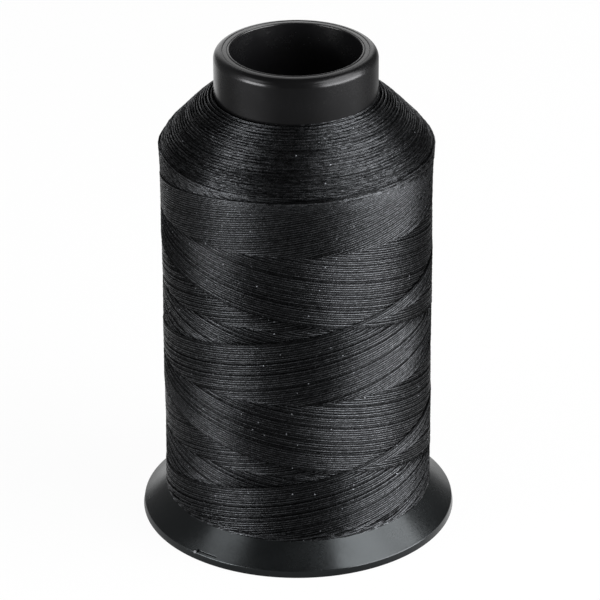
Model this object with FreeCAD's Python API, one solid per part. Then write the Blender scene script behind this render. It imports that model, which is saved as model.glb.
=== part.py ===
import FreeCAD, Part
import math
import os

V = FreeCAD.Vector

# A large plastic spool of black sewing thread, standing on its flared base.
# Millimetres. Z runs up along the bore, Z = 0 is the plane that the rim stands on,
# and the front, which carries the thread catch on its left, faces -Y.

# Whole spool
total_height = 130.6
base_radius = 41.25
bore_radius = 16.86

# Barrel: a straight tube that stands on a ledge inside the hub of the base
barrel_wall = 1.84
barrel_radius = bore_radius + barrel_wall
edge_break = 0.35
seam_break = 0.15

# Base flange: flared skirt, rim, hub socket and ribs in one moulding
rim_height = 1.7
rim_width = 1.95
rim_break = 0.25
skirt_wall = 1.6
hub_wall = 1.8
hub_radius = barrel_radius + hub_wall
hub_foot = 0.6
ledge_height = 2.0
ledge_top = hub_foot + ledge_height
skirt_top = 21.8
hub_top = 24.0
skirt_middle_height = 7.5
rib_count = 8
rib_wall = 1.2
rib_foot = 2.0

# Thread catch: a slit just inside the rim's edge that opens into a round notch
catch_notch_angle = -42.5
catch_slit_end_angle = -34.0
catch_slit_width = 0.5
catch_lip = 0.35
catch_depth = 1.1
catch_notch_radius = 0.65

# Top collar: a ring pressed over the barrel's upper end
collar_radius = 20.85
collar_foot = 116.0
collar_round = 2.0
collar_round_steps = 3

# Wound package: a plain mass, and round it the outer layer. The sides of both are given
# by radius and height, between the skirt and the collar
package_radius = 34.85
package_side = [(34.85, 94.0), (35.3, 104.0), (34.1, 107.0), (27.2, 114.1)]
package_top = 119.1
mass_radius = 34.25
mass_side = [(34.25, 104.8), (26.7, 113.5)]
mass_top = 118.4


def flat(radius, height):
    return V(radius, 0, height)


def around(angle, radius, height):
    # Angle in radians, 0 at the front, growing towards +X.
    return V(radius * math.sin(angle), -radius * math.cos(angle), height)


def outline(points):
    # A closed outline in the XZ plane. A point that repeats the one before is left out.
    corners = [points[0]]
    for point in points[1:]:
        if not point.isEqual(corners[-1], 1e-6):
            corners.append(point)
    return Part.Face(Part.makePolygon(corners + corners[:1]))


def revolved(face):
    return face.revolve(V(0, 0, 0), V(0, 0, 1), 360)


def circle_through(first, second, third):
    # Centre and radius of the circle through three points of the XZ plane.
    circle = Part.Arc(first, second, third).toShape().Curve
    return circle.Center, circle.Radius


def height_on(circle, radius):
    # The height of the circle's lower half at a radius of the spool.
    centre, size = circle
    return centre.z - math.sqrt(size * size - (radius - centre.x) ** 2)


def even_steps(start, end, count):
    return [start + (end - start) * index / count for index in range(count + 1)]


def rounded_corner(corner_radius, corner_height, size, count):
    # An outer top corner in even steps of a quarter circle, from the wall to the top face.
    return [
        flat(corner_radius - size * (1 - math.cos(turn)), corner_height - size * (1 - math.sin(turn)))
        for turn in even_steps(0, math.pi / 2, count)
    ]


# The skirt's upper face is a slightly hollow flare from the hub to the rim, made of cones
# that meet where the package ends and halfway out from there. Its lower face lies the
# wall's thickness below.
skirt_circle = circle_through(
    flat(hub_radius, skirt_top),
    flat(package_radius, skirt_middle_height),
    flat(base_radius, rim_height),
)
under_circle = (skirt_circle[0], skirt_circle[1] + skirt_wall)


def on_skirt(radius):
    return flat(radius, height_on(skirt_circle, radius))


def under_skirt(radius, raised=0.0):
    return flat(radius, height_on(under_circle, radius) + raised)


def make_barrel():
    return revolved(outline([
        flat(bore_radius, ledge_top),
        flat(bore_radius, total_height - edge_break),
        flat(bore_radius + edge_break, total_height),
        flat(barrel_radius - seam_break, total_height),
        flat(barrel_radius, total_height - seam_break),
        flat(barrel_radius, ledge_top),
    ]))


def make_top_collar():
    corner = rounded_corner(collar_radius, total_height, collar_round, collar_round_steps)
    return revolved(outline([
        flat(barrel_radius, collar_foot),
        flat(collar_radius, collar_foot),
        *corner,
        flat(barrel_radius + seam_break, total_height),
        flat(barrel_radius, total_height - seam_break),
    ]))


def make_rib(angle):
    # A thin upright web between the hub and the skirt, buried a little in both.
    inner = hub_radius - hub_wall / 2
    outer = base_radius - rim_width
    sunk = skirt_wall / 2
    web = outline([
        flat(inner, rib_foot),
        flat(outer, rib_foot),
        under_skirt(outer, sunk),
        under_skirt(inner, sunk),
    ])
    web.translate(V(0, -rib_wall / 2, 0))
    rib = web.extrude(V(0, rib_wall, 0))
    rib.rotate(V(0, 0, 0), V(0, 0, 1), angle)
    return rib


def make_thread_catch():
    # The slit and its notch as one cutter, open at the top.
    floor = rim_height - catch_depth
    ceiling = rim_height + 2 * catch_depth
    outer = base_radius - catch_lip
    inner = outer - catch_slit_width
    sweep = catch_slit_end_angle - catch_notch_angle
    band = outline([flat(inner, floor), flat(outer, floor), flat(outer, ceiling), flat(inner, ceiling)])
    slit = band.revolve(V(0, 0, 0), V(0, 0, 1), sweep)
    slit.rotate(V(0, 0, 0), V(0, 0, 1), catch_notch_angle - 90)
    notch_place = around(math.radians(catch_notch_angle), outer - catch_notch_radius / 2, floor)
    notch = Part.makeCylinder(catch_notch_radius, ceiling - floor, notch_place)
    return slit.fuse(notch)


def make_base_flange():
    rim_inner = base_radius - rim_width
    shell = revolved(outline([
        flat(rim_inner, 0),
        flat(base_radius, 0),
        flat(base_radius, rim_height - rim_break),
        on_skirt(base_radius - rim_break),
        on_skirt((base_radius + package_radius) / 2),
        on_skirt(package_radius),
        on_skirt(hub_radius),
        flat(hub_radius, hub_top),
        flat(barrel_radius, hub_top),
        flat(barrel_radius, ledge_top),
        flat(bore_radius, ledge_top),
        flat(bore_radius, hub_foot + edge_break),
        flat(bore_radius + edge_break, hub_foot),
        flat(hub_radius, hub_foot),
        under_skirt(hub_radius),
        under_skirt(rim_inner),
    ]))
    ribs = [make_rib((index + 0.5) * 360 / rib_count) for index in range(rib_count)]
    return shell.fuse(ribs).removeSplitter().cut(make_thread_catch())


def skirt_foot(radius):
    # Where a wall inside the package meets the inner cone of the skirt.
    outer, inner = on_skirt(package_radius), on_skirt(hub_radius)
    return outer + (inner - outer) * ((outer.x - radius) / (outer.x - inner.x))


def wound_side(radius, side, top):
    # The side of the wound mass or of the layer on it, from the skirt to the collar's wall.
    return [skirt_foot(radius), *[flat(*corner) for corner in side], flat(collar_radius, top)]


def make_thread_body():
    # The wound mass. It lies on the skirt, round the hub and barrel, and up against the collar.
    return revolved(outline([
        on_skirt(hub_radius),
        *wound_side(mass_radius, mass_side, mass_top),
        flat(collar_radius, collar_foot),
        flat(barrel_radius, collar_foot),
        flat(barrel_radius, hub_top),
        flat(hub_radius, hub_top),
    ]))


def make_outer_thread():
    # The outer layer of the winding, all round the wound mass.
    outside = wound_side(package_radius, package_side, package_top)
    inside = wound_side(mass_radius, mass_side, mass_top)
    return revolved(outline(outside + inside[::-1]))


def save(name, shape):
    solid = shape.Solids[0] if len(shape.Solids) == 1 else shape
    solid.exportStep("parts/%s.step" % name)
    print("%-13s %8.1f mm3 valid %s" % (name, solid.Volume, solid.isValid()))


os.makedirs("parts", exist_ok=True)
save("barrel", make_barrel())
save("top_collar", make_top_collar())
save("base_flange", make_base_flange())
save("thread_body", make_thread_body())
save("outer_thread", make_outer_thread())
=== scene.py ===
import bmesh
import bpy
import math
from mathutils import Matrix, Vector


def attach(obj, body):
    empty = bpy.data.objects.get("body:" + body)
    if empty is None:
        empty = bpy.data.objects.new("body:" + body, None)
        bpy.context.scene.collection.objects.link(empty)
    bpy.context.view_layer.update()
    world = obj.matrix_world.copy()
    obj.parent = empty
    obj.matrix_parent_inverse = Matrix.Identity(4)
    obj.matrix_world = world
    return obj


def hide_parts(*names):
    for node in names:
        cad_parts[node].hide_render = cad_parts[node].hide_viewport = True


# A large black plastic spool, fully wound with black sewing thread. Sizes are in
# millimetres and angles in degrees, 0 at the front and growing to the right, except
# where a note says otherwise.

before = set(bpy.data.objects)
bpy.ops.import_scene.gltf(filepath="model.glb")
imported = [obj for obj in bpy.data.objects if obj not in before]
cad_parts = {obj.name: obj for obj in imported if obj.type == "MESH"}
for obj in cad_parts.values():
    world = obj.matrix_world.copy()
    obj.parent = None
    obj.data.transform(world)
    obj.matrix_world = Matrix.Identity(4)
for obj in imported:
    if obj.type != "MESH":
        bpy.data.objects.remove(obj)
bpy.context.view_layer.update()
mm = 0.001


class Socket:
    # An output of a node, so that maths on it reads as an expression.
    def __init__(self, tree, socket):
        self.tree = tree
        self.socket = socket

    def maths(self, operation, *others):
        inputs = dict(enumerate((self, *others)))
        return self.tree.node("ShaderNodeMath", {"operation": operation}, inputs)

    def __add__(self, other):
        return self.maths("ADD", other)

    def __sub__(self, other):
        return self.maths("SUBTRACT", other)

    def __rsub__(self, other):
        return self.tree.node("ShaderNodeMath", {"operation": "SUBTRACT"}, {0: other, 1: self})

    def __mul__(self, other):
        return self.maths("MULTIPLY", other)

    def __truediv__(self, other):
        return self.maths("DIVIDE", other)

    def __rtruediv__(self, other):
        return self.tree.node("ShaderNodeMath", {"operation": "DIVIDE"}, {0: other, 1: self})

    def __gt__(self, other):
        return self.maths("GREATER_THAN", other)

    def __lt__(self, other):
        return self.maths("LESS_THAN", other)

    __radd__ = __add__
    __rmul__ = __mul__

    def ramp(self, start, end, low=0.0, high=1.0):
        # From low before start to high after end, and smooth between them.
        settings = {"interpolation_type": "SMOOTHSTEP"}
        inputs = {0: self, 1: start, 2: end, 3: low, 4: high}
        return self.tree.node("ShaderNodeMapRange", settings, inputs)

    def between(self, start, full, fade, end):
        # 1 from full to fade, falling to 0 at start and at end.
        return self.ramp(start, full) * self.ramp(end, fade)

    def another(self, name):
        return Socket(self.tree, self.socket.node.outputs[name])


class Tree:
    # A node tree that is filled one node at a time.
    def __init__(self, nodeTree):
        self.nodeTree = nodeTree

    def node(self, kind, settings=None, inputs=None, output=0):
        made = self.nodeTree.nodes.new(kind)
        for name, value in (settings or {}).items():
            setattr(made, name, value)
        for place, value in (inputs or {}).items():
            socket = made.inputs[place]
            if isinstance(value, Socket):
                self.nodeTree.links.new(value.socket, socket)
            else:
                socket.default_value = value
        return Socket(self, made.outputs[output]) if made.outputs else None

    def blend(self, share, first, second):
        # From the first colour to the second.
        settings = {"data_type": "RGBA"}
        return self.node("ShaderNodeMix", settings, {0: share, 6: first, 7: second}, output=2)


def newMaterial(name):
    material = bpy.data.materials.new(name)
    material.use_nodes = True
    material.node_tree.nodes.clear()
    return material, Tree(material.node_tree)


def addObject(name, data):
    made = bpy.data.objects.new(name, data)
    bpy.context.scene.collection.objects.link(made)
    return made


def newShape(name, others, sizes):
    # A Geometry Nodes tree with named inputs: the others by their kind, then each number
    # among the sizes.
    tree = Tree(bpy.data.node_groups.new(name, "GeometryNodeTree"))
    kinds = dict(others)
    for key, value in sizes.items():
        if isinstance(value, (int, float)):
            kinds[key] = "Int" if isinstance(value, int) else "Float"
    face = tree.nodeTree.interface
    tree.identifiers = {}
    for key, kind in kinds.items():
        socket = face.new_socket(name=key, in_out="INPUT", socket_type="NodeSocket" + kind)
        if key in sizes:
            socket.default_value = sizes[key]
        tree.identifiers[key] = socket.identifier
    face.new_socket(name="Geometry", in_out="OUTPUT", socket_type="NodeSocketGeometry")
    return tree


def endShape(tree, shape, finish):
    real = tree.node("GeometryNodeRealizeInstances", inputs={"Geometry": shape})
    finished = tree.node("GeometryNodeSetMaterial", inputs={"Geometry": real, "Material": finish})
    tree.node("NodeGroupOutput", inputs={"Geometry": finished})


def bake(name, tree, values, start=None):
    # Runs a tree once and keeps the plain mesh.
    piece = addObject(name, start or bpy.data.meshes.new(name + "_start"))
    modifier = piece.modifiers.new("nodes", "NODES")
    modifier.node_group = tree.nodeTree
    for key, value in values.items():
        modifier[tree.identifiers[key]] = value
    piece.update_tag()
    bpy.context.view_layer.update()
    depsgraph = bpy.context.evaluated_depsgraph_get()
    mesh = bpy.data.meshes.new_from_object(piece.evaluated_get(depsgraph))
    piece.modifiers.clear()
    piece.data = mesh
    mesh.name = name
    print("  %s has %d faces" % (name, len(mesh.polygons)))
    return piece


def finishPiece(piece, material, slot, *nodes):
    if material.name not in piece.data.materials:
        piece.data.materials.append(material)
    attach(piece, "root")
    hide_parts(*nodes)


# Camera: where the photograph was taken from. Its turns are in radians.

photoCamera = {
    "place": (0.0, -896.0, 510.85),
    "turnRight": 0.0008,
    "tiltDown": 0.4665,
    "roll": -0.0051,
    "lens": 230.92,
}


def addCamera(plan):
    turn, tilt, roll = plan["turnRight"], plan["tiltDown"], plan["roll"]
    ahead = Vector((math.sin(turn) * math.cos(tilt), math.cos(turn) * math.cos(tilt), -math.sin(tilt)))
    level = Vector((math.cos(turn), -math.sin(turn), 0))
    upward = level.cross(ahead)
    right = level * math.cos(roll) + upward * math.sin(roll)
    up = upward * math.cos(roll) - level * math.sin(roll)
    data = bpy.data.cameras.new("photoCamera")
    data.lens = plan["lens"]
    data.clip_start = 0.05
    camera = addObject("photoCamera", data)
    axes = Matrix((right, up, -ahead)).transposed()
    camera.matrix_world = Matrix.Translation(Vector(plan["place"]) * mm) @ axes.to_4x4()
    bpy.context.scene.camera = camera


# Floor: white to the camera, with a faint shadow. To the spool it gives painted light, a glow whose
# strength depends on the place: the angles below are in radians and the distances from the bore in metres.

floorPlan = {
    "size": 6000.0,
    "colour": (0.8, 0.8, 0.8, 1),
    "unshaded": 0.96,  # share of the white that takes no shadow
    "everywhere": 0.18,
    "left": 0.35,
    "leftPart": (-0.3, -1.05, -1.25, -1.75),
    "right": 0.47,
    "rightPart": (0.1, 1.3, 1.5, 2.0),
    "behind": 0.8,
    "behindPart": (2.2, 2.6),
    "farRightLess": 0.8,
    "farRightPart": (1.5, 2.2),
    "farFrom": (0.1, 0.17),
    "near": 0.6,
    "nearWithin": (0.21, 0.13),
    "nearRight": 1.4,
    "nearAside": 0.75,
    "asidePart": (1.2, 1.9),
    "rightRearLess": 1.45,
    "rightRearPart": (1.9, 2.2),
    "leftRearLess": 0.6,
    "leftRearPart": (-2.1, -2.35),
    "rearFrom": (0.055, 0.08),
    # painted shadow: the floor's glow is darker right beside the rim
    "paintedRimShadow": (0.04, 0.08, 0.38, 1.0),  # the floor is darker right beside the rim
}


def seenPlainly(tree):
    # 1 for the rays that come from the camera, straight or through something clear.
    light = tree.node("ShaderNodeLightPath", output="Is Camera Ray")
    return light.maths("MAXIMUM", light.another("Is Transmission Ray"))


def floorLight(tree, plan):
    # Painted light: how brightly the floor glows towards the spool, by angle and distance.
    place = tree.node("ShaderNodeTexCoord", output="Object")
    x = tree.node("ShaderNodeSeparateXYZ", inputs={0: place})
    y = x.another("Y")
    angle = x.maths("ARCTAN2", y * -1)
    aside = angle.maths("ABSOLUTE")
    away = (x * x + y * y).maths("SQRT")
    left = angle.between(*plan["leftPart"])
    right = angle.between(*plan["rightPart"])
    farRight = plan["farRightLess"] * angle.ramp(*plan["farRightPart"]) * away.ramp(*plan["farFrom"])
    behind = aside.ramp(*plan["behindPart"]) * (1 - farRight)
    rightRear = plan["rightRearLess"] * angle.ramp(*plan["rightRearPart"])
    leftRear = plan["leftRearLess"] * angle.ramp(*plan["leftRearPart"])
    rear = (rightRear + leftRear) * away.ramp(*plan["rearFrom"])
    more = 1 + plan["nearRight"] * right + plan["nearAside"] * aside.ramp(*plan["asidePart"])
    near = away.ramp(*plan["nearWithin"]) * (more - rear)
    sides = left * plan["left"] + right * plan["right"] + behind * plan["behind"]
    level = plan["everywhere"] + near * plan["near"] + sides
    return level * away.ramp(*plan["paintedRimShadow"])


def addFloor(plan):
    half = plan["size"] * mm / 2
    corners = [(-half, -half, 0), (half, -half, 0), (half, half, 0), (-half, half, 0)]
    mesh = bpy.data.meshes.new("floor")
    mesh.from_pydata(corners, [], [(0, 1, 2, 3)])
    floor = addObject("floor", mesh)
    look, tree = newMaterial("paleFloor")
    matt = tree.node("ShaderNodeBsdfDiffuse", inputs={"Color": plan["colour"]})
    glow = tree.node("ShaderNodeEmission", inputs={"Strength": 1.0})
    shown = tree.node("ShaderNodeMixShader", inputs={0: plan["unshaded"], 1: matt, 2: glow})
    level = floorLight(tree, plan)
    colour = tree.node("ShaderNodeCombineColor", inputs={0: level, 1: level, 2: level})
    # The painted glow, for all rays but the camera's.
    paintedGlow = tree.node("ShaderNodeEmission", inputs={"Color": colour, "Strength": 1.0})
    mixed = tree.node("ShaderNodeMixShader", inputs={0: seenPlainly(tree), 1: paintedGlow, 2: shown})
    tree.node("ShaderNodeOutputMaterial", inputs={"Surface": mixed})
    mesh.materials.append(look)


# Sky: a bright backdrop behind the spool, and a dark room with dim walls in front of it.
# Places are parts of a direction of length 1.

sky = {
    "backdrop": 1.75,
    "backdropFrom": (0.72, 0.9),
    "backdropUpTo": (0.8, 0.35),
    "backdropAcross": (-0.56, -0.32, 0.22, 0.42),
    "ceiling": 0.06,
    "leftWall": 0.14,
    "rightWall": 0.04,
    "wallFrom": (0.3, 0.7),
}


def addSky(plan):
    world = bpy.data.worlds.new("studio")
    bpy.context.scene.world = world
    world.use_nodes = True
    world.node_tree.nodes.clear()
    tree = Tree(world.node_tree)
    way = tree.node("ShaderNodeTexCoord", output="Generated")
    across = tree.node("ShaderNodeSeparateXYZ", inputs={0: way})
    ahead, up = across.another("Y"), across.another("Z")
    behind = ahead.ramp(*plan["backdropFrom"]) * up.ramp(*plan["backdropUpTo"])
    start, full, fade, end = plan["backdropAcross"]
    behind = behind * across.ramp(start, full) * across.ramp(end, fade)
    wallStart, wallFull = plan["wallFrom"]
    leftWall = across.ramp(-wallStart, -wallFull) * plan["leftWall"]
    rightWall = across.ramp(wallStart, wallFull) * plan["rightWall"]
    dim = plan["ceiling"] + leftWall + rightWall
    lit = tree.node("ShaderNodeMix", inputs={0: behind, 2: dim, 3: plan["backdrop"]})
    strength = tree.node("ShaderNodeMix", inputs={0: seenPlainly(tree), 2: lit, 3: 1.0})
    back = tree.node("ShaderNodeBackground", inputs={"Strength": strength})
    tree.node("ShaderNodeOutputWorld", inputs={"Surface": back})


# Softboxes at both sides, the brightest ones low. Place is angle, height angle and distance.

softboxes = {
    "leftLow": {"place": (-60.0, 9.0, 1100.0), "size": (620.0, 430.0), "glow": 12.0},
    "leftHigh": {"place": (-70.0, 38.0, 1100.0), "size": (520.0, 560.0), "glow": 2.1},
    "rightLow": {"place": (66.0, 8.0, 1100.0), "size": (1240.0, 410.0), "glow": 11.7},
    "rightMiddle": {"place": (70.0, 30.0, 1100.0), "size": (1280.0, 410.0), "glow": 6.0},
    "rightHigh": {"place": (78.0, 53.0, 1100.0), "size": (900.0, 420.0), "glow": 5.2},
}
softboxAim = 65.0  # height on the bore's axis that they all face


def addSoftboxes(plans, aimHeight):
    aim = Vector((0, 0, aimHeight)) * mm
    for name, plan in plans.items():
        angle, height, distance = plan["place"]
        angle, height = math.radians(angle), math.radians(height)
        outward = Vector((
            math.sin(angle) * math.cos(height), -math.cos(angle) * math.cos(height), math.sin(height),
        ))
        data = bpy.data.lights.new(name, "AREA")
        data.shape = "RECTANGLE"
        data.size, data.size_y = (side * mm for side in plan["size"])
        data.energy = plan["glow"] * math.pi * data.size * data.size_y
        lamp = addObject(name, data)
        lamp.location = aim + outward * distance * mm
        lamp.rotation_euler = outward.to_track_quat("Z", "Y").to_euler()
        lamp.visible_camera = False


addCamera(photoCamera)
addFloor(floorPlan)
addSky(sky)
addSoftboxes(softboxes, softboxAim)
print("camera, floor, sky and lights are in place")


# Plastics. The base has one pale spot on the nib beside the thread catch, a painted highlight.

plastics = {
    "collar": {
        "colour": (0.0032, 0.0032, 0.0034), "roughness": (0.19, 0.3), "wave": 0.03,
        "tint": (0.7, 0.7, 0.72, 1),
    },
    "barrel": {
        "colour": (0.005, 0.005, 0.0055), "roughness": (0.16, 0.30), "wave": 0.02,
        "tint": (1, 1, 1, 1),
    },
    "base": {
        "colour": (0.0034, 0.0038, 0.004), "roughness": (0.18, 0.29), "wave": 0.08,
        "tint": (0.89, 0.96, 1, 1),
        # a pale spot on the nib by the thread catch: a painted highlight
        "nibGlint": (-27.0, -30.6, 1.9), "nibGlintRadius": 0.42, "nibGlintColour": (0.2, 0.2, 0.21, 1),
    },
}
plasticLint = (0.22, 0.22, 0.23, 1)


def specks(tree, place, scale, size, rarity):
    # 1 on tiny scattered spots, and 0 elsewhere.
    inputs = {"Vector": place, "Scale": scale}
    cells = tree.node("ShaderNodeTexVoronoi", inputs=inputs, output="Distance")
    chance = tree.node("ShaderNodeSeparateColor", inputs={0: cells.another("Color")})
    return (cells < size) * (chance > rarity)


def plasticFinish(name, plan):
    # Moulded black plastic with handling haze, fine scuffs and a few specks of lint; on the base, a painted
    # highlight on the nib.
    look, tree = newMaterial(name)
    place = tree.node("ShaderNodeTexCoord", output="Object")
    haze = tree.node("ShaderNodeTexNoise", inputs={"Vector": place, "Scale": 90.0, "Detail": 4.0})
    fine = tree.node("ShaderNodeTexNoise", inputs={"Vector": place, "Scale": 1400.0, "Detail": 2.0})
    lint = specks(tree, place, 260.0, 0.08, 0.96)
    colour = tree.blend(lint * 0.5, (*plan["colour"], 1), plasticLint)
    # A pale spot on the nib, painted as its highlight.
    if "nibGlint" in plan:
        ends = {0: place, 1: tuple(value * mm for value in plan["nibGlint"])}
        near = tree.node("ShaderNodeVectorMath", {"operation": "DISTANCE"}, ends, output="Value")
        colour = tree.blend(near < plan["nibGlintRadius"] * mm, colour, plan["nibGlintColour"])
    roughness = (haze * 0.7 + fine * 0.3).ramp(0.35, 0.7, *plan["roughness"])
    height = haze * 0.6 + fine * 0.15 + lint * 0.5
    bump = tree.node("ShaderNodeBump", inputs={
        "Strength": plan["wave"], "Distance": 0.6 * mm, "Height": height,
    })
    finish = tree.node("ShaderNodeBsdfPrincipled", inputs={
        "Base Color": colour, "Roughness": roughness, "IOR": 1.5,
        "Specular Tint": plan["tint"], "Normal": bump,
    })
    tree.node("ShaderNodeOutputMaterial", inputs={"Surface": finish})
    return look


# Lathed pieces: barrel, collar and base flange

def evenly(start, end, count):
    return [start + (end - start) * step / count for step in range(count + 1)]


def arcPoints(centre, radius, start, end, count):
    # Points of a rounded edge, from one direction to another.
    turns = [math.radians(angle) for angle in evenly(start, end, count)]
    return [(centre[0] + radius * math.cos(turn), centre[1] + radius * math.sin(turn)) for turn in turns]


def roundBore(turn, radius, height):
    # A place in metres. The turn is in radians.
    return Vector((radius * mm * math.sin(turn), -radius * mm * math.cos(turn), height * mm))


def spot(angle, radius, height):
    # Moves something to a place round the bore.
    turn = math.radians(angle)
    return Matrix.Translation(Vector((radius * math.sin(turn), -radius * math.cos(turn), height)) * mm)


def recalculate(mesh):
    # All faces outwards.
    work = bmesh.new()
    work.from_mesh(mesh)
    bmesh.ops.recalc_face_normals(work, faces=work.faces)
    if work.calc_volume(signed=True) < 0:
        bmesh.ops.reverse_faces(work, faces=work.faces)
    work.to_mesh(mesh)
    work.free()


def smoothFaces(mesh, sharpAngle=32):
    mesh.shade_smooth()
    mesh.set_sharp_from_angle(angle=math.radians(sharpAngle))


def lathe(name, profile, steps):
    # Turns a closed outline of (radius, height) round the bore.
    rings = len(profile)
    points = []
    faces = []
    for step in range(steps):
        turn = 2 * math.pi * step / steps
        points += [roundBore(turn, radius, height) for radius, height in profile]
        here, there = step * rings, (step + 1) % steps * rings
        for ring in range(rings):
            after = (ring + 1) % rings
            faces.append((here + ring, there + ring, there + after, here + after))
    mesh = bpy.data.meshes.new(name)
    mesh.from_pydata(points, [], faces)
    recalculate(mesh)
    smoothFaces(mesh)
    return addObject(name, mesh)


barrel = {
    "bore": 16.86, "outside": 18.7, "foot": 2.6, "top": 130.6, "steps": 256,
    "lip": 0.3, "lipFoot": 0.2,  # the raised edge round the bore, and the groove outside it
    "face": 0.08, "seam": 0.14,
}


def makeBarrel(plan):
    inner, outer, top = plan["bore"], plan["outside"], plan["top"]
    lip, seam, face = plan["lip"], plan["seam"], plan["face"]
    profile = [
        (inner, plan["foot"]),
        *arcPoints((inner + lip, top - lip), lip, 180, 70, 5),
        (inner + 2.1 * lip, top - plan["lipFoot"]),
        (inner + 2.5 * lip, top - face),
        *arcPoints((outer - seam, top - face - seam), seam, 90, 0, 3),
        (outer, plan["foot"]),
    ]
    piece = lathe("barrel_tube", profile, plan["steps"])
    finishPiece(piece, plasticFinish("barrelPlastic", plastics["barrel"]), "spool_plastic", "barrel")


collar = {
    "inside": 18.7, "outside": 20.95, "foot": 116.0, "top": 130.6, "steps": 256,
    "round": 2.25, "seam": 0.14,
}


def makeCollar(plan):
    inner, outer, top = plan["inside"], plan["outside"], plan["top"]
    size, seam = plan["round"], plan["seam"]
    profile = [
        (inner, plan["foot"]),
        (outer, plan["foot"]),
        *arcPoints((outer - size, top - size), size, 0, 88, 14),
        *arcPoints((inner + seam, top - seam), seam, 90, 180, 3),
    ]
    piece = lathe("collar_ring", profile, plan["steps"])
    finish = plasticFinish("collarPlastic", plastics["collar"])
    finishPiece(piece, finish, "collar_plastic", "top_collar")


base = {
    "rimOutside": 41.25, "rimInside": 39.3, "rimTop": (40.846, 1.935), "rimRound": 0.22,
    "edge": (40.6, 1.62), "edgeRound": 0.4,
    "hub": 20.5, "hubTop": 24.0, "hubFoot": 0.6, "hubBreak": 0.35,
    "socket": 18.7, "bore": 16.86, "ledge": 2.6,
    "flareTop": 21.8, "flareMiddle": (34.85, 7.5), "wall": 1.6, "flareSteps": 26, "steps": 256,
    "ribs": 8, "ribWall": 1.2, "ribFoot": 2.0, "ribSunk": 0.9,
    "catchNotch": -40.3, "catchEnd": -31.9, "catchAt": 40.42, "catchWidth": 0.24, "catchFloor": 0.8,
    "notchRadius": 0.36, "lip": 0.08, "lipFrom": 0.8, "nib": (-41.4, 40.7, 0.3),
}


def circleThrough(first, second, third):
    # Centre and radius of the circle through three points.
    (ax, ay), (bx, by), (cx, cy) = first, second, third
    cross = 2 * (ax * (by - cy) + bx * (cy - ay) + cx * (ay - by))
    a, b, c = ax * ax + ay * ay, bx * bx + by * by, cx * cx + cy * cy
    centre = (
        (a * (by - cy) + b * (cy - ay) + c * (ay - by)) / cross,
        (a * (cx - bx) + b * (ax - cx) + c * (bx - ax)) / cross,
    )
    return centre, math.dist(centre, first)


def flareHeight(circle, radius, deeper=0.0):
    (middle, height), size = circle
    return height - math.sqrt((size + deeper) ** 2 - (radius - middle) ** 2)


def flareLine(circle, start, end, count, deeper=0.0):
    return [(radius, flareHeight(circle, radius, deeper)) for radius in evenly(start, end, count)]


def makeBase(plan):
    circle = circleThrough((plan["hub"], plan["flareTop"]), plan["flareMiddle"], plan["rimTop"])
    outside, small, steps = plan["rimOutside"], plan["rimRound"], plan["flareSteps"]
    profile = [
        (plan["rimInside"], 0),
        *arcPoints((outside - small, small), small, 270, 360, 4),
        *arcPoints(plan["edge"], plan["edgeRound"], 0, 46, 7),
        *flareLine(circle, plan["rimTop"][0], plan["hub"], steps),
        (plan["hub"], plan["hubTop"]),
        (plan["socket"], plan["hubTop"]),
        (plan["socket"], plan["ledge"]),
        (plan["bore"], plan["ledge"]),
        (plan["bore"], plan["hubFoot"] + plan["hubBreak"]),
        (plan["bore"] + plan["hubBreak"], plan["hubFoot"]),
        (plan["hub"], plan["hubFoot"]),
        *flareLine(circle, plan["hub"], plan["rimInside"], steps, plan["wall"]),
    ]
    piece = lathe("base_flare", profile, plan["steps"])
    finish = plasticFinish("basePlastic", plastics["base"])
    cutCatch(piece, plan)
    addToBase(piece, plan, circle, finish)
    smoothFaces(piece.data)
    finishPiece(piece, finish, "base_plastic", "base_flange")


def ringSector(work, corners, start, end, count):
    # A closed bar that follows part of a circle round the bore, with the given section.
    loops = []
    for angle in evenly(math.radians(start), math.radians(end), count):
        loops.append([work.verts.new(roundBore(angle, radius, height)) for radius, height in corners])
    made = [work.faces.new(loops[0]), work.faces.new(loops[-1])]
    for here, there in zip(loops, loops[1:]):
        for side in range(len(corners)):
            after = (side + 1) % len(corners)
            made.append(work.faces.new((here[side], here[after], there[after], there[side])))
    bmesh.ops.recalc_face_normals(work, faces=made)


def cutCatch(piece, plan):
    # The thread catch: a slit just inside the rim that opens into a round notch.
    middle, half, floor = plan["catchAt"], plan["catchWidth"] / 2, plan["catchFloor"]
    tall, radius = 4, plan["notchRadius"] * mm
    slit, notch = bmesh.new(), bmesh.new()
    section = [(middle - half, floor), (middle + half, floor), (middle + half, tall), (middle - half, tall)]
    ringSector(slit, section, plan["catchNotch"], plan["catchEnd"], 16)
    bmesh.ops.create_cone(
        notch, cap_ends=True, segments=24, radius1=radius, radius2=radius,
        depth=tall * mm, matrix=spot(plan["catchNotch"], middle, floor + tall / 2),
    )
    for work in (slit, notch):
        mesh = bpy.data.meshes.new("cutter")
        work.to_mesh(mesh)
        work.free()
        cutter = addObject("cutter", mesh)
        cut = piece.modifiers.new("catch", "BOOLEAN")
        cut.object = cutter
        cut.solver = "EXACT"
        depsgraph = bpy.context.evaluated_depsgraph_get()
        piece.data = bpy.data.meshes.new_from_object(piece.evaluated_get(depsgraph))
        piece.modifiers.clear()
        bpy.data.objects.remove(cutter)


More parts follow.
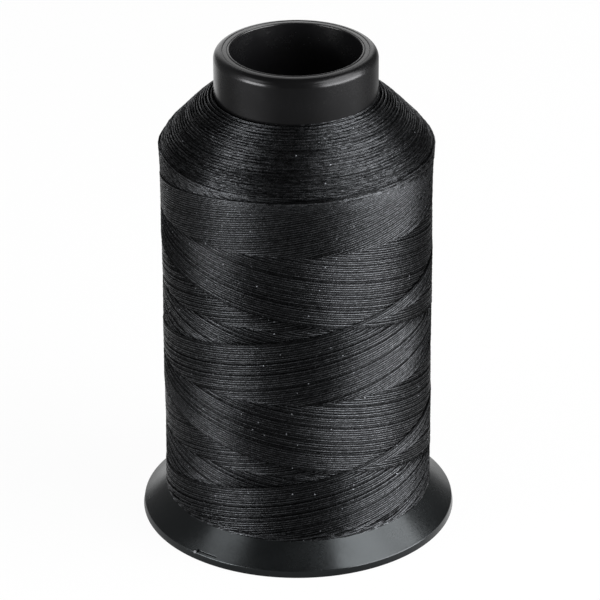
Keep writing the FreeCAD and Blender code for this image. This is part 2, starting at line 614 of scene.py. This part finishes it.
def addToBase(piece, plan, circle, finish):
    # A fine lip along the catch, a nib at its end, and the ribs.
    work = bmesh.new()
    work.from_mesh(piece.data)
    lip = plan["lip"]
    inside = plan["catchAt"] - plan["catchWidth"] / 2 - lip
    section = arcPoints((inside, flareHeight(circle, inside)), lip, 0, 315, 7)
    ringSector(work, section, plan["catchNotch"] + plan["lipFrom"], plan["catchEnd"], 16)
    angle, radius, size = plan["nib"]
    bmesh.ops.create_uvsphere(
        work, u_segments=16, v_segments=10, radius=size * mm,
        matrix=spot(angle, radius, flareHeight(circle, radius)),
    )
    ribs = bake("ribs", ribsTree(plan), {"finish": finish}, oneRib(plan, circle))
    work.from_mesh(ribs.data)
    work.to_mesh(piece.data)
    work.free()
    bpy.data.objects.remove(ribs)


def oneRib(plan, circle):
    # A thin upright web at the front between hub and skirt, buried a little in both.
    inner, outer, half = plan["hub"] - plan["ribSunk"], plan["rimInside"], plan["ribWall"] / 2
    top = flareLine(circle, inner, outer, 10, plan["wall"] / 2)
    outline = [(inner, plan["ribFoot"]), (outer, plan["ribFoot"]), *top[::-1]]
    count = len(outline)
    points = [Vector((x, -radius, height)) * mm for x in (-half, half) for radius, height in outline]
    faces = [tuple(range(count)), tuple(range(count, 2 * count))]
    for place in range(count):
        after = (place + 1) % count
        faces.append((place, after, count + after, count + place))
    mesh = bpy.data.meshes.new("rib")
    mesh.from_pydata(points, [], faces)
    recalculate(mesh)
    return mesh


def ribsTree(plan):
    # Copies of one rib, evenly round the bore.
    tree = newShape("ribsRound", {"rib": "Geometry", "finish": "Material"}, {"ribs": plan["ribs"]})
    put = tree.node("NodeGroupInput").another
    points = tree.node("GeometryNodePoints", inputs={"Count": put("ribs")})
    turn = (tree.node("GeometryNodeInputIndex") + 0.5) * (2 * math.pi) / put("ribs")
    upright = tree.node("ShaderNodeCombineXYZ", inputs={2: turn})
    copies = tree.node("GeometryNodeInstanceOnPoints", inputs={
        "Points": points, "Instance": put("rib"),
        "Rotation": tree.node("FunctionNodeEulerToRotation", inputs={0: upright}),
    })
    endShape(tree, copies, put("finish"))
    return tree


makeBarrel(barrel)
makeCollar(collar)
makeBase(base)
print("barrel, collar and base are made")


# Thread: real turns of it, crossing as the traverse laid them

turnLength = 219.0  # once round the package
turnsPerStroke = 5  # down and up again
maxRadius = 40.0  # for the curve of the shoulder's side, whose values stay below 1

thread = {
    "dark": (0.002, 0.0021, 0.0023), "light": (0.006, 0.0062, 0.0066), "lint": (0.25, 0.26, 0.28),
    "gloss": 1.97, "tint": (0.905, 0.94, 1, 1), "roughness": (0.2, 0.34),
    # groove: how dark the painted shade in the twist's grooves is
    "plies": 3, "twist": 0.62, "groove": 0.8, "relief": 0.45,
    # lower: painted shade on every odd stroke
    "uneven": 0.45, "lower": 0.78,  # how much darker the dull parts and the lower strands are
}


def threadFinish(plan):
    # Bonded filament thread: a slight gloss that glints on the twist, with painted shade in its grooves, on
    # every odd stroke, in gaps and on the shoulder's bends, and a few bright hairs.
    look, tree = newMaterial("bondedThread")

    def line(scale, detail, along):
        inputs = {"W": along, "Scale": scale, "Detail": detail}
        return tree.node("ShaderNodeTexNoise", {"noise_dimensions": "1D"}, inputs)

    def mark(name, output):
        return tree.node("ShaderNodeAttribute", {"attribute_name": name}, output=output)

    place = tree.node("ShaderNodeTexCoord", output="Object")
    along = mark("along", "Fac")
    around = tree.node("ShaderNodeSeparateXYZ", inputs={0: mark("around", "Vector")})
    angle = around.another("Y").maths("ARCTAN2", around)
    strand = along / plan["twist"] + angle * (plan["plies"] / (2 * math.pi)) + line(0.21, 1.0, along) * 6
    groove = (strand * math.pi).maths("SINE").maths("ABSOLUTE")
    inputs = {"W": strand.maths("FLOOR")}
    own = tree.node("ShaderNodeTexWhiteNoise", {"noise_dimensions": "1D"}, inputs)
    grain = tree.node("ShaderNodeTexNoise", inputs={"Vector": place, "Scale": 3200.0, "Detail": 2.0})
    tone = (own * 0.8 + line(0.012, 1.0, along) * 0.2).ramp(0.1, 0.8)
    lint = specks(tree, place, 700.0, 0.115, 0.9)

    # The strokes' marks: even strokes lie on top, and every odd one is darkened with painted shade, as if
    # it lay lower.
    number = ((along / turnLength + turnsPerStroke / 2) / turnsPerStroke).maths("FLOOR")
    lower = ((number * 0.5).maths("FRACT") > 0.25) * plan["lower"]
    body = tree.blend(tone, (*plan["dark"], 1), (*plan["light"], 1))
    body = tree.blend(lint, body, (*plan["lint"], 1))
    bump = tree.node("ShaderNodeBump", inputs={
        "Strength": plan["relief"], "Distance": 0.04 * mm, "Height": groove + grain * 0.6,
    })
    finish = tree.node("ShaderNodeBsdfPrincipled", inputs={
        "Base Color": body, "Roughness": grain.ramp(0.3, 0.7, *plan["roughness"]),
        "IOR": plan["gloss"], "Specular Tint": plan["tint"], "Normal": bump,
    })
    # A black matt shader, which the finish is mixed towards as painted shade: in the twist's grooves, on
    # every odd stroke and by the stored painted shade of slipped threads and shoulder bends. The dull parts
    # are random tone.
    shade = tree.node("ShaderNodeBsdfDiffuse", inputs={"Color": (0, 0, 0, 1)})
    lit = groove.ramp(0.0, 0.9, 1 - plan["groove"], 1.0) * (1 - plan["uneven"] + plan["uneven"] * tone)
    lit = lit * (1 - lower) * (1 - mark("paintedShade", "Fac"))
    mixed = tree.node("ShaderNodeMixShader", inputs={0: lit.maths("MAXIMUM", lint), 1: shade, 2: finish})
    tree.node("ShaderNodeOutputMaterial", inputs={"Surface": mixed})
    return look


def noiseOf(tree, across, along, detail):
    vector = tree.node("ShaderNodeCombineXYZ", inputs={0: across, 1: along})
    inputs = {"Vector": vector, "Scale": 1.0, "Detail": detail}
    return tree.node("ShaderNodeTexNoise", {"noise_dimensions": "2D"}, inputs)


def randomOf(tree, number, seed):
    inputs = {"W": number + seed * 37.7}
    return tree.node("ShaderNodeTexWhiteNoise", {"noise_dimensions": "1D"}, inputs)


def jitterOf(tree, number, seed):
    return randomOf(tree, number, seed) - 0.5


def placeRound(tree, turn, radius, height):
    # Places in metres, from turns round the bore.
    angle = turn * (2 * math.pi)
    return tree.node("ShaderNodeCombineXYZ", inputs={
        0: radius * angle.maths("SINE") * mm, 1: radius * angle.maths("COSINE") * -mm, 2: height * mm,
    })


def threadTube(tree, put, curve, length, paintedShade):
    # Gives the thread its thickness, smooth faces and finish, marks it for the twist, and stores its
    # painted shade.
    line = curve
    for name, value in (("along", length), ("paintedShade", paintedShade)):
        line = tree.node("GeometryNodeStoreNamedAttribute", {"data_type": "FLOAT", "domain": "POINT"}, {
            "Geometry": line, "Name": name, "Value": value,
        })
    circle = tree.node("GeometryNodeCurvePrimitiveCircle", inputs={
        "Resolution": put("sides"), "Radius": put("threadRadius") * mm,
    })
    ring = tree.node("GeometryNodeStoreNamedAttribute", {"data_type": "FLOAT_VECTOR", "domain": "POINT"}, {
        "Geometry": circle, "Name": "around", "Value": tree.node("GeometryNodeInputPosition"),
    })
    tube = tree.node("GeometryNodeCurveToMesh", inputs={
        "Curve": line, "Profile Curve": ring, "Fill Caps": True,
    })
    smooth = tree.node("GeometryNodeSetShadeSmooth", inputs={"Geometry": tube})
    endShape(tree, smooth, put("finish"))


winding = {
    "threadRadius": 0.142,
    "sides": 6,
    "strokes": 132,  # double strokes that cover the package once
    "parts": 4,
    "pointsPerStroke": 300,
    "turnsEachWay": 2.5,
    "lead": 41.5,  # rise in one turn
    "newestAngle": 19.7,  # where the newest stroke turns back at the top
    "topCrossing": 109.5,  # where the straight strokes would meet at the top
    "topBend": 0.24,  # turns over which the traverse turns back
    "topSpread": 1.8,  # by which the turning points differ in height
    "bottomBend": 0.09,
    "bottomSpread": 1.3,
    "bottomSunk": 0.75,  # share of that spread that goes down into the skirt
    "radius": 35.13,
    "flare": 0.34,  # the package widens at the shoulder's foot
    "flareFrom": 94.0,
    "flareOver": 10.0,
    "footFlare": 0.08,  # and a little at the skirt
    "footFrom": 16.0,
    "footOver": 8.5,
    "sink": 0.26,  # from the newest stroke to the oldest
    "layer": 0.42,  # from a thread on top to one below
    "wander": 0.75,  # in spacings of the strokes
    "looseness": 0.3,
    "ripple": 0.05,
    "slipped": 0.3,  # share of the threads that lie in a gap
    "slipDepth": 0.22,
    # slipShade: painted shade on the threads that lie in a gap
    "slipShade": 0.6,
    "seed": 3.0,
}


def strokesTree(plan):
    # One unbroken thread, from its place in the order of strokes to a tube.
    tree = newShape("windThread", {"finish": "Material"}, {"part": 0, **plan})
    put = tree.node("NodeGroupInput").another
    index = tree.node("GeometryNodeInputIndex")
    perStroke, count = put("pointsPerStroke"), put("strokes")
    perPart = count / put("parts")
    local = ((index + 0.25) / perStroke).maths("FLOOR")
    share = index / perStroke - local
    stroke = local + put("part") * perPart
    age = (count - 1 - stroke) / count
    fromTop = (share - 0.5) * (2 * put("turnsEachWay") - 1 / count)
    away = fromTop.maths("ABSOLUTE")
    toBottom = put("turnsEachWay") - away

    # Slow wander, single threads that lie loose, and others that have slipped into gaps, where they are
    # darkened with painted shade
    atEnd = share.maths("MINIMUM", 1 - share).ramp(0.0, 0.035)
    drift = noiseOf(tree, stroke * 0.45, fromTop * 1.6 + put("seed"), 2.0) - 0.5
    loose = jitterOf(tree, stroke, 11.0)
    shift = (drift * put("wander") * atEnd + loose * put("looseness") * atEnd) / count
    turn = put("newestAngle") / 360 + age + fromTop + shift
    openness = noiseOf(tree, age * 6.0, fromTop * 0.9 + 20, 0.0).ramp(0.22, 0.42)
    openness = openness * away.ramp(0.3, 0.7) * atEnd
    order = (stroke * put("slipped") + randomOf(tree, stroke, 31.0) * 0.25).maths("FRACT")
    slip = (order < put("slipped")) * (0.3 + 0.7 * randomOf(tree, stroke, 47.0)) * openness

    # Height, with a bend at each end of the stroke
    nearTop = (put("topBend") - away).maths("MAXIMUM", 0.0)
    nearBottom = (put("bottomBend") - toBottom).maths("MAXIMUM", 0.0)
    bend = nearBottom * nearBottom / (2 * put("bottomBend")) - nearTop * nearTop / (2 * put("topBend"))
    early = jitterOf(tree, stroke, 61.0) * put("topSpread") * away.ramp(0.13, 0.0)
    late = randomOf(tree, stroke, 71.0) - put("bottomSunk")
    late = late * put("bottomSpread") * toBottom.ramp(0.16, 0.0)
    height = put("topCrossing") + put("lead") * (bend - away) + early + late

    # Later strokes lie on earlier ones
    otherAge = (age + 2 * fromTop).maths("FRACT")
    onTop = (otherAge - age).ramp(-0.012, 0.012) * (1 - otherAge.ramp(0.975, 1.0))
    lower = put("layer") * (1 - onTop) * away.ramp(0.0, 0.1) * toBottom.ramp(0.0, 0.08)
    swell = ((height - put("flareFrom")) / put("flareOver")).maths("MAXIMUM", 0.0)
    low = ((put("footFrom") - height) / put("footOver")).maths("MAXIMUM", 0.0)
    surface = put("radius") + put("flare") * swell * swell + put("footFlare") * low * low
    ripple = jitterOf(tree, stroke, 5.0) * put("ripple")
    radius = surface - put("threadRadius") - put("sink") * age - lower - slip * put("slipDepth") + ripple

    line = tree.node("GeometryNodeCurvePrimitiveLine")
    inputs = {"Curve": line, "Count": perPart * perStroke + 1}
    points = tree.node("GeometryNodeResampleCurve", inputs=inputs)
    inputs = {"Geometry": points, "Position": placeRound(tree, turn, radius, height)}
    placed = tree.node("GeometryNodeSetPosition", inputs=inputs)
    length = (fromTop + stroke * turnsPerStroke) * turnLength
    threadTube(tree, put, placed, length, slip * put("slipShade"))
    return tree


def windPackage(plan, finish):
    tree = strokesTree(plan)
    for part in range(plan["parts"]):
        piece = bake("wound_thread_%d" % (part + 1), tree, {"part": part, "finish": finish})
        finishPiece(piece, finish, "thread", "outer_thread")


shoulder = {
    "threadRadius": 0.15,
    "sides": 6,
    "points": 18,
    "bends": 900,
    "bendsPerRing": 32.3,
    "span": 0.34,  # turns
    "drop": 32.0,  # how fast a bend falls away from its top
    "top": 119.1,
    "foot": 104.2,
    "side": [
        (0.0, 20.9), (0.04, 22.1), (0.205, 25.4), (0.404, 28.5), (0.603, 31.3), (0.801, 33.95),
        (1.0, 35.1),
    ],
    "turnJitter": 0.05,
    "radiusJitter": 0.045,
    "heightJitter": 0.12,
    # painted shade on each bend, and more on every second one
    "shade": 0.2,
    "otherShade": 0.53,  # more for every second bend
    "seed": 5.0,
}


def shoulderTree(plan):
    # Bends of older strokes, one over the other from the collar down to the package's side, darkened with
    # painted shade.
    tree = newShape("turnBack", {"finish": "Material"}, plan)
    put = tree.node("NodeGroupInput").another
    line = tree.node("GeometryNodeCurvePrimitiveLine")
    points = tree.node("GeometryNodeResampleCurve", inputs={"Curve": line, "Count": put("points")})
    inputs = {"Geometry": points, "Amount": put("bends")}
    copies = tree.node("GeometryNodeDuplicateElements", {"domain": "SPLINE"}, inputs)
    number = copies.another("Duplicate Index")
    down = (number + 0.5) / put("bends")
    away = (tree.node("GeometryNodeSplineParameter") - 0.5) * put("span")
    turn = number / put("bendsPerRing") + jitterOf(tree, number, put("seed") + 1) * put("turnJitter") + away
    side = tree.node("ShaderNodeFloatCurve", inputs={"Value": down})
    setCurve(side.socket.node, [(share, radius / maxRadius) for share, radius in plan["side"]])
    uneven = jitterOf(tree, number, put("seed") + 2) * put("radiusJitter")
    radius = side * maxRadius - put("threadRadius") + uneven
    height = put("top") + (put("foot") - put("top")) * down - away * away * put("drop")
    height = height + jitterOf(tree, number, put("seed") + 3) * put("heightJitter")
    inputs = {"Geometry": copies, "Position": placeRound(tree, turn, radius, height)}
    placed = tree.node("GeometryNodeSetPosition", inputs=inputs)
    length = (away + number * (2 * turnsPerStroke)) * turnLength
    # Painted shade, darker on every second bend
    paintedShade = put("shade") + put("otherShade") * ((number * 0.5).maths("FRACT") > 0.25)
    threadTube(tree, put, placed, length, paintedShade)
    return tree


def setCurve(node, stops):
    curve = node.mapping.curves[0]
    while len(curve.points) < len(stops):
        curve.points.new(0.5, 0.5)
    for point, (x, y) in zip(curve.points, stops):
        point.location = (x, y)
        point.handle_type = "AUTO"
    node.mapping.update()


def windShoulder(plan, finish):
    piece = bake("shoulder_thread", shoulderTree(plan), {"finish": finish})
    finishPiece(piece, finish, "thread", "outer_thread")


mass = {
    "depth": 0.75,  # below the package's side, and a little less below the shoulder
    "shoulderDepth": 0.6,
    "shoulderFrom": 100.0,
    "side": [
        (34.85, 7.6), (34.85, 94.0), (35.1, 101.0), (35.2, 104.0), (34.1, 107.0), (31.4, 110.0),
        (28.3, 113.0), (25.1, 116.0), (21.9, 118.5),
    ],
    "collar": 20.85, "collarFoot": 116.0, "top": 118.0,
    "barrel": 18.7, "hub": 20.5, "hubTop": 24.0, "skirtTop": 21.8,
    "steps": 192,
}


def makeMass(plan, finish):
    # What shows between the turns: the older thread below them.
    side = []
    for radius, height in plan["side"]:
        drop = plan["shoulderDepth"] if height > plan["shoulderFrom"] else 0
        side.append((radius - plan["depth"], height - drop))
    profile = [
        (plan["hub"], plan["skirtTop"]), *side, (plan["collar"], plan["top"]),
        (plan["collar"], plan["collarFoot"]), (plan["barrel"], plan["collarFoot"]),
        (plan["barrel"], plan["hubTop"]), (plan["hub"], plan["hubTop"]),
    ]
    piece = lathe("thread_mass", profile, plan["steps"])
    finishPiece(piece, finish, "thread", "thread_body")


bonded = threadFinish(thread)
makeMass(mass, bonded)
windPackage(winding, bonded)
windShoulder(shoulder, bonded)
print("the thread is wound")

scene = bpy.context.scene
scene.view_settings.view_transform = "Standard"
